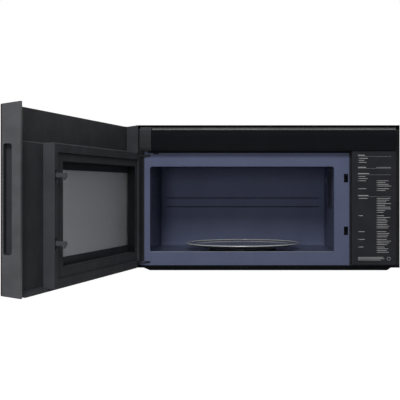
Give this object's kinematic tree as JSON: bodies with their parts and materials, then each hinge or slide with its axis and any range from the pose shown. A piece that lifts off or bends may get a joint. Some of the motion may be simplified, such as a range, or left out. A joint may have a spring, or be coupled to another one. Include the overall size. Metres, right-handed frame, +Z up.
{
  "type": "over-the-range microwave oven",
  "caption": "Over-the-range microwave with a full-width side-hinged door, glass turntable, vent blower and filters.",
  "frame": {"origin": "middle of the wall face's width, in the plane of the wall, level with the underside of the base pan", "axes": "+X to the right seen from the front, +Y into the wall, +Z up; the door opens towards -Y"},
  "size_m": [0.9505, 1.1378, 0.4215],
  "materials": {
    "case_black": "satin black powder-coated steel",
    "flange_enamel": "blue-grey speckled enamel with a low gloss",
    "zinc_steel": "zinc-plated steel",
    "mica": "pale grey mica sheet",
    "copper": "enamelled copper wire",
    "aluminium": "aluminium mesh and can",
    "inner_plastic": "dark moulded plastic",
    "board": "printed circuit board",
    "lens": "frosted lamp lens",
    "fascia_black": "smooth black moulding",
    "label_black": "matt black panel",
    "door_moulding": "fine textured black moulding",
    "end_cap_grey": "dark metallic grey end cap",
    "door_glass": "dark tempered glass",
    "pane": "tinted inner pane",
    "mesh": "perforated screen",
    "latch_grey": "dark grey acetal latch",
    "tray_glass": "clear tempered glass tray"
  },
  "bodies": {
    "cabinet": {"outer_case": "case_black", "back_plate": "case_black", "base_plate": "case_black", "base_screws": "zinc_steel", "cavity_box": "flange_enamel", "waveguide_cover": "mica", "waveguide": "zinc_steel", "magnetron": "zinc_steel", "component_shelf": "case_black", "transformer_core": "zinc_steel", "transformer_windings": "copper", "hv_capacitor": "aluminium", "hv_diode": "inner_plastic", "power_board": "board", "filter_board": "board", "cavity_lamp": "inner_plastic", "cord_bushing": "inner_plastic", "cooling_fan_frame": "inner_plastic", "cooling_fan_motor": "zinc_steel", "vent_blower_housing": "zinc_steel", "vent_blower_motor": "zinc_steel", "charcoal_filter": "inner_plastic", "grease_filter_left": "aluminium", "grease_filter_right": "aluminium", "cooktop_lenses": "lens", "fascia": "fascia_black", "hinge_cap": "fascia_black", "label_panel": "label_black", "control_bracket": "case_black", "latch_board": "inner_plastic", "interlock_switches": "inner_plastic", "hinge_plate_upper": "case_black", "hinge_plate_lower": "case_black", "turntable_motor": "inner_plastic"},
    "door": {"door_glass": "door_glass", "door_end_cap": "end_cap_grey", "door_hinge_cap": "door_moulding", "door_tray": "door_moulding", "door_frame": "zinc_steel", "mesh_screen": "mesh", "inner_window": "pane", "choke_cover": "door_moulding", "hinge_arm_upper": "zinc_steel", "hinge_arm_lower": "zinc_steel", "touch_foil": "inner_plastic", "display_module": "inner_plastic", "touch_board": "board"},
    "latch": {"latch_bar": "latch_grey"},
    "lever_upper": {"interlock_lever_upper": "inner_plastic"},
    "lever_lower": {"interlock_lever_lower": "inner_plastic"},
    "turntable": {"turntable_coupler": "latch_grey", "glass_tray": "tray_glass"},
    "roller_carrier": {"roller_ring": "latch_grey"},
    "roller_a": {"roller_1": "latch_grey"},
    "roller_b": {"roller_2": "latch_grey"},
    "roller_c": {"roller_3": "latch_grey"},
    "cooling_fan": {"cooling_fan_blade": "inner_plastic"},
    "vent_rotor": {"vent_blower_shaft": "zinc_steel", "vent_drum_left": "inner_plastic", "vent_drum_right": "inner_plastic"}
  },
  "joints": [
    {"name": "door_swing", "type": "hinge", "parent": "cabinet", "child": "door", "pos_m": [-0.3761, -0.3975, 0.18], "axis": [0, 0, 1], "range_deg": [0, 101.7]},
    {"name": "latch_drop", "type": "slide", "parent": "door", "child": "latch", "axis": [0, 0, -1], "range_m": [0, 0.004], "stiffness_N_per_m": 400},
    {"name": "lever_upper_press", "type": "hinge", "parent": "cabinet", "child": "lever_upper", "pos_m": [0.222, -0.3536, 0.2518], "axis": [-1, 0, 0], "range_deg": [0, 8], "stiffness_Nm_per_rad": 0.02},
    {"name": "lever_lower_press", "type": "hinge", "parent": "cabinet", "child": "lever_lower", "pos_m": [0.222, -0.3536, 0.0994], "axis": [-1, 0, 0], "range_deg": [0, 8], "stiffness_Nm_per_rad": 0.02},
    {"name": "table_spin", "type": "hinge", "parent": "cabinet", "child": "turntable", "pos_m": [-0.0748, -0.1985, 0.054], "axis": [0, 0, 1], "continuous": true},
    {"name": "carrier_spin", "type": "hinge", "parent": "cabinet", "child": "roller_carrier", "pos_m": [-0.0748, -0.1985, 0.054], "axis": [0, 0, 1], "continuous": true},
    {"name": "roller_a_spin", "type": "hinge", "parent": "roller_carrier", "child": "roller_a", "pos_m": [0.02046, -0.1435, 0.054], "axis": [0.866, 0.5, 0], "continuous": true},
    {"name": "roller_b_spin", "type": "hinge", "parent": "roller_carrier", "child": "roller_b", "pos_m": [-0.17006, -0.1435, 0.054], "axis": [-0.866, 0.5, 0], "continuous": true},
    {"name": "roller_c_spin", "type": "hinge", "parent": "roller_carrier", "child": "roller_c", "pos_m": [-0.0748, -0.3085, 0.054], "axis": [0, -1, 0], "continuous": true},
    {"name": "cooling_fan_spin", "type": "hinge", "parent": "cabinet", "child": "cooling_fan", "pos_m": [0.3, -0.024, 0.15], "axis": [0, -1, 0], "continuous": true},
    {"name": "vent_rotor_spin", "type": "hinge", "parent": "cabinet", "child": "vent_rotor", "pos_m": [0, -0.082, 0.3601], "axis": [1, 0, 0], "continuous": true}
  ],
  "couplings": [
    {"joint": "carrier_spin", "follows": "table_spin", "ratio": 0.5},
    {"joint": "roller_a_spin", "follows": "table_spin", "ratio": -9.1667},
    {"joint": "roller_b_spin", "follows": "table_spin", "ratio": -9.1667},
    {"joint": "roller_c_spin", "follows": "table_spin", "ratio": -9.1667}
  ]
}
